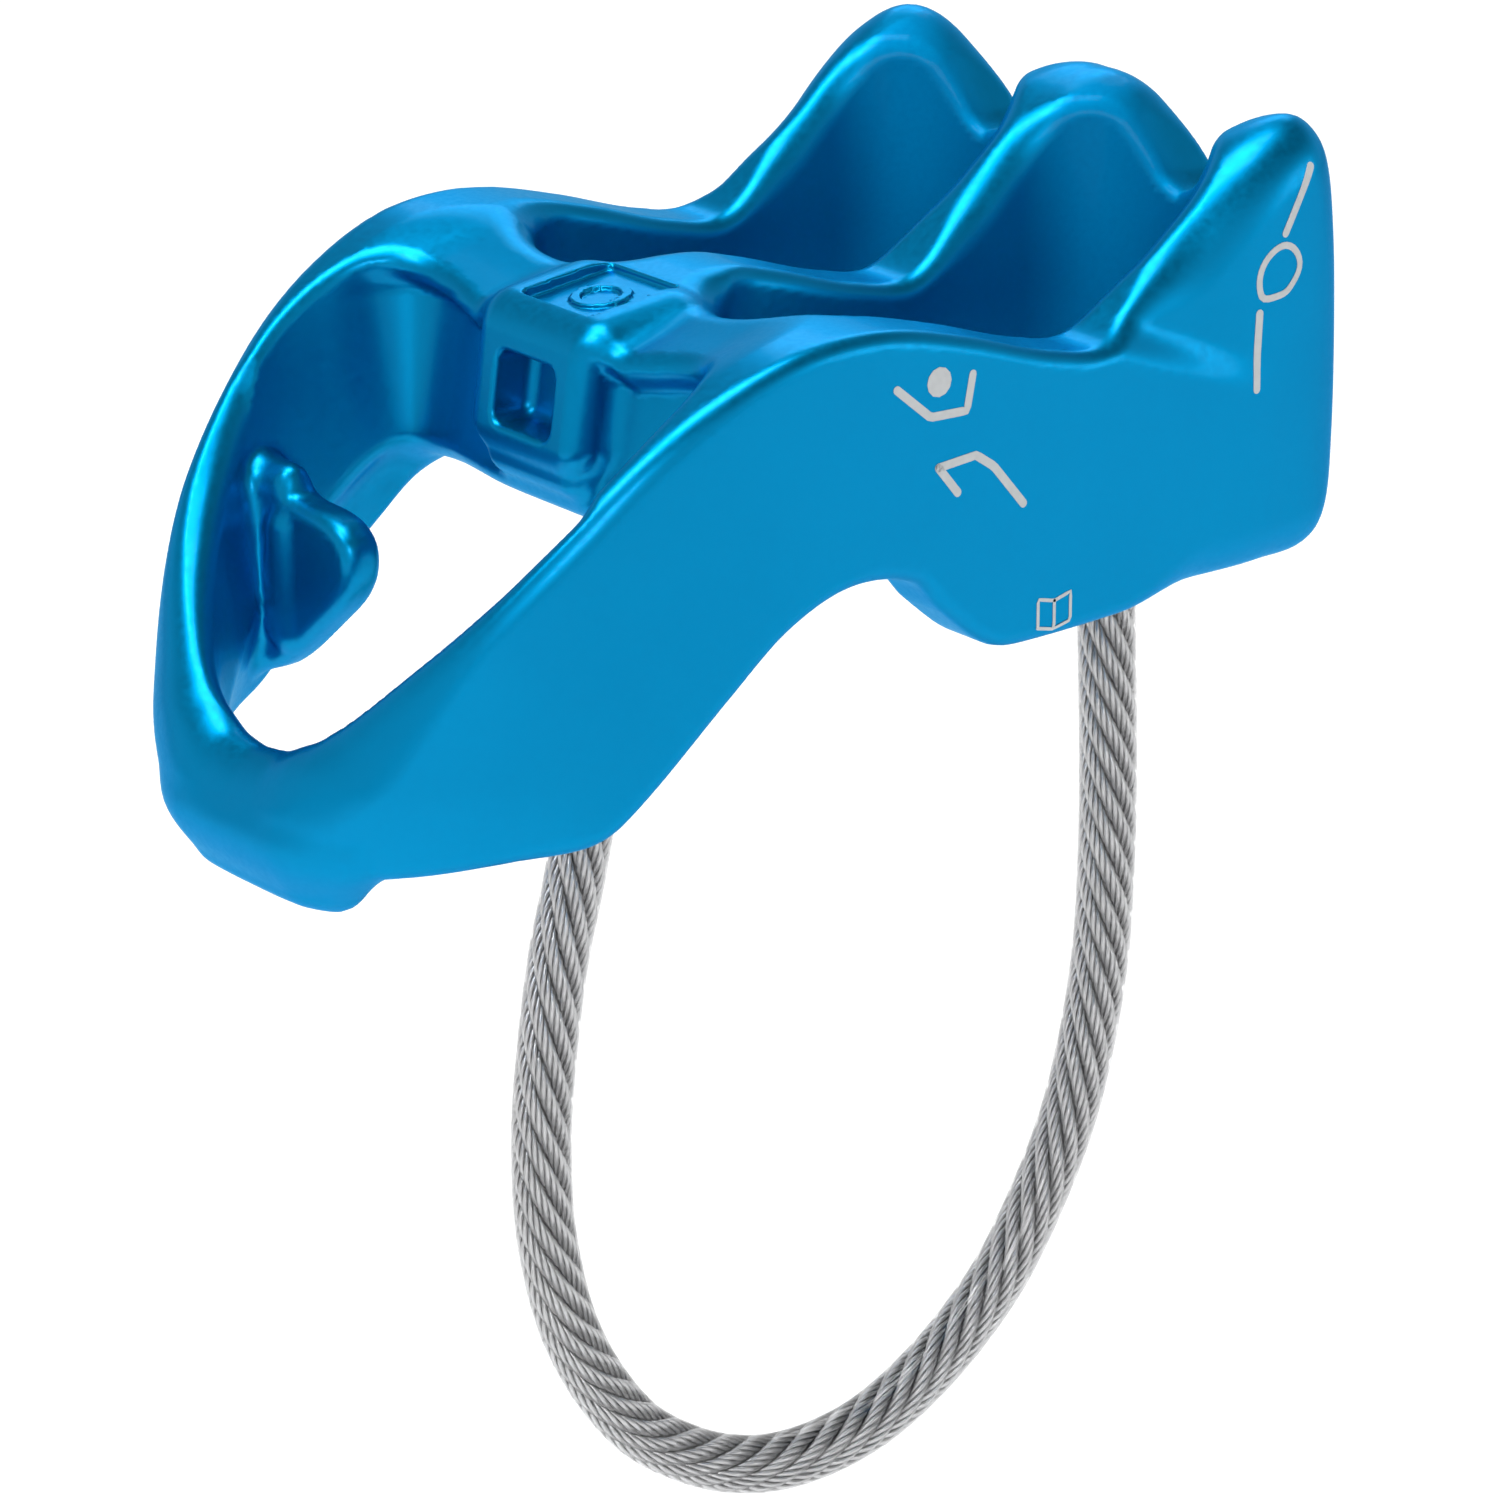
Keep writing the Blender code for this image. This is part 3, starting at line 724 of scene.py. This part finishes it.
class Recipe:
    """Adds nodes to a material in few words."""

    def __init__(self, material):
        self.tree = material.node_tree
        self.position = self.tree.nodes.new("ShaderNodeTexCoord").outputs["Object"]

    def node(self, kind, inputs=(), **settings):
        made = self.tree.nodes.new(kind)
        for key, value in settings.items():
            setattr(made, key, value)
        for key, value in dict(inputs).items():
            socket = made.inputs[key]
            if isinstance(value, bpy.types.NodeSocket):
                self.tree.links.new(value, socket)
            else:
                socket.default_value = value
        return made

    def noise(self, scale, detail=3.0, roughness=0.5):
        return self.node(
            "ShaderNodeTexNoise",
            {"Vector": self.position, "Scale": scale, "Detail": detail, "Roughness": roughness},
        ).outputs["Fac"]

    def spread(self, value, low, high):
        """The value between low and high, from the middle range of a noise."""
        return self.node(
            "ShaderNodeMapRange",
            {"Value": value, "From Min": 0.3, "From Max": 0.7, "To Min": low, "To Max": high},
        ).outputs["Result"]

    def blend(self, share, a, b):
        made = self.node("ShaderNodeMix", data_type="RGBA")
        self.tree.links.new(share, made.inputs["Factor"])
        made.inputs["A"].default_value = (*a, 1)
        made.inputs["B"].default_value = (*b, 1)
        return made.outputs["Result"]

    def bump(self, height, strength, distance, below=None):
        inputs = {"Height": height, "Strength": strength, "Distance": distance}
        made = self.node("ShaderNodeBump", inputs)
        if below is not None:
            self.tree.links.new(below, made.inputs["Normal"])
        return made.outputs["Normal"]

    def steps(self, value, low, high):
        """0 at low, 1 at high, straight between and level beyond."""
        inputs = {"Value": value, "From Min": low, "From Max": high}
        return self.node("ShaderNodeMapRange", inputs).outputs["Result"]

    def math(self, operation, a, b=0.0):
        return self.node("ShaderNodeMath", {0: a, 1: b}, operation=operation).outputs["Value"]

    def sum(self, a, b):
        return self.math("ADD", a, b)

    def at_the_horns(self, amount):
        """The amount on the walls of the two rope slots between the horns, and none elsewhere."""
        place = self.node("ShaderNodeSeparateXYZ", {"Vector": self.position}).outputs
        from_middle = self.math("SUBTRACT", self.math("ABSOLUTE", place["Y"]), SLOT_Y * MM)
        beside = self.steps(self.math("ABSOLUTE", from_middle), 6.9 * MM, 6.2 * MM)
        after = self.steps(place["X"], 34 * MM, 42 * MM)
        before = self.steps(place["X"], 50.5 * MM, 48.5 * MM)
        along = self.math("MULTIPLY", after, before)
        return self.math("MULTIPLY", self.math("MULTIPLY", beside, along), amount)

    def link(self, output, socket):
        self.tree.links.new(output, socket)


def anodised_material():
    material, shader = make_material(
        "anodised_blue",
        Metallic=0.93,
        Specular_IOR_Level=0.1,
        Specular_Tint=(0.15, 0.65, 0.95, 1),
        Coat_Weight=0.05,
        Coat_Roughness=0.12,
    )
    recipe = Recipe(material)
    cloud = recipe.noise(90.0, 4.0)
    colour = recipe.blend(cloud, (0.0, 0.205, 0.435), (0.0, 0.235, 0.485))
    recipe.link(colour, shader.inputs["Base Color"])
    satin = recipe.spread(recipe.noise(2600.0, 2.0), 0.34, 0.42)
    recipe.link(recipe.sum(satin, recipe.at_the_horns(0.26)), shader.inputs["Roughness"])
    grain = recipe.noise(7000.0, 2.0, 0.6)
    wave = recipe.noise(420.0, 2.0)
    rough = recipe.bump(wave, 0.10, 0.00006)
    recipe.link(recipe.bump(grain, 0.12, 0.000008, rough), shader.inputs["Normal"])
    return material


def steel_material():
    material, shader = make_material("drawn_steel", Metallic=1.0)
    recipe = Recipe(material)
    recipe.link(
        recipe.blend(recipe.noise(700.0, 3.0), (0.48, 0.48, 0.49), (0.70, 0.70, 0.70)),
        shader.inputs["Base Color"],
    )
    recipe.link(recipe.spread(recipe.noise(3000.0, 2.0), 0.28, 0.45), shader.inputs["Roughness"])
    recipe.link(recipe.bump(recipe.noise(5000.0, 2.0), 0.2, 0.00002), shader.inputs["Normal"])
    return material


def jacket_material():
    material, shader = make_material(
        "clear_plastic", Transmission_Weight=1.0, IOR=1.42, Base_Color=(0.93, 0.935, 0.94, 1)
    )
    recipe = Recipe(material)
    recipe.link(recipe.spread(recipe.noise(900.0, 3.0), 0.05, 0.14), shader.inputs["Roughness"])
    recipe.link(recipe.bump(recipe.noise(500.0, 2.0), 0.15, 0.00006), shader.inputs["Normal"])
    return material


def mark_material():
    material, shader = make_material("laser_mark", Metallic=0.2)
    recipe = Recipe(material)
    recipe.link(
        recipe.blend(recipe.noise(2500.0, 3.0), (0.40, 0.42, 0.43), (0.52, 0.54, 0.55)),
        shader.inputs["Base Color"],
    )
    recipe.link(recipe.spread(recipe.noise(5000.0, 2.0), 0.45, 0.65), shader.inputs["Roughness"])
    return material


def paint(piece, material):
    if piece.material_slots:
        for holder in piece.material_slots:
            holder.material = material
    else:
        piece.data.materials.append(material)


steel = steel_material()
paint(body, anodised_material())
paint(rope, steel)
paint(jacket, jacket_material())
laser = mark_material()
for piece in (climber_mark, hand_mark, book_mark):
    paint(piece, laser)
for node in ("crimp_sleeve_bridge", "crimp_sleeve_end"):
    paint(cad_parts[node], steel)

# ---- studio ----------------------------------------------------------------------------------

FLOOR_HEIGHT = -0.11
FLOOR_HALF = 4000
AIM = (0.02, 0.0, 0.0)
# Place, size and power of each softbox.
SOFTBOXES = [
    ((0.50, 0.50, 0.48), (0.40, 0.40), 1.4),
    ((-0.05, 0.08, 0.66), (0.36, 0.36), 3.0),
    ((0.50, -0.60, 0.10), (0.25, 0.30), 0.6),
    ((-0.46, -0.58, 0.34), (0.25, 0.25), 1.3),
    ((-0.36, 0.02, 0.56), (0.22, 0.22), 1.6),
]


def make_floor():
    floor = add_object(
        "studio_floor",
        [(x * FLOOR_HALF, y * FLOOR_HALF, 0) for x, y in ((-1, -1), (1, -1), (1, 1), (-1, 1))],
        [(0, 1, 2, 3)],
        smooth=False,
    )
    floor.location.z = FLOOR_HEIGHT
    material, shader = make_material(
        "studio_paper",
        Roughness=0.9,
        Base_Color=(0.92, 0.92, 0.92, 1),
        Emission_Color=(1, 1, 1, 1),
        Emission_Strength=0.25,
    )
    paint(floor, material)


def make_light(place, size, power):
    light = bpy.data.lights.new("softbox", "AREA")
    light.shape = "RECTANGLE"
    light.size, light.size_y = size
    light.energy = power
    holder = bpy.data.objects.new("softbox", light)
    holder.location = place
    holder.rotation_euler = (Vector(AIM) - Vector(place)).to_track_quat("-Z", "Y").to_euler()
    holder.visible_camera = False
    bpy.context.scene.collection.objects.link(holder)


def make_world():
    world = bpy.data.worlds.new("studio")
    world.use_nodes = True
    recipe = Recipe(world)
    direction = recipe.tree.nodes["Texture Coordinate"].outputs["Generated"]
    height = recipe.node("ShaderNodeSeparateXYZ", {"Vector": direction}).outputs["Z"]
    share = recipe.steps(height, 0.22, 0.75)
    sky = recipe.blend(share, (0.90, 0.90, 0.90), (0.14, 0.14, 0.14))
    recipe.link(sky, world.node_tree.nodes["Background"].inputs["Color"])
    bpy.context.scene.world = world


make_floor()
for place, size, power in SOFTBOXES:
    make_light(place, size, power)
make_world()
bpy.context.scene.view_settings.view_transform = "Standard"
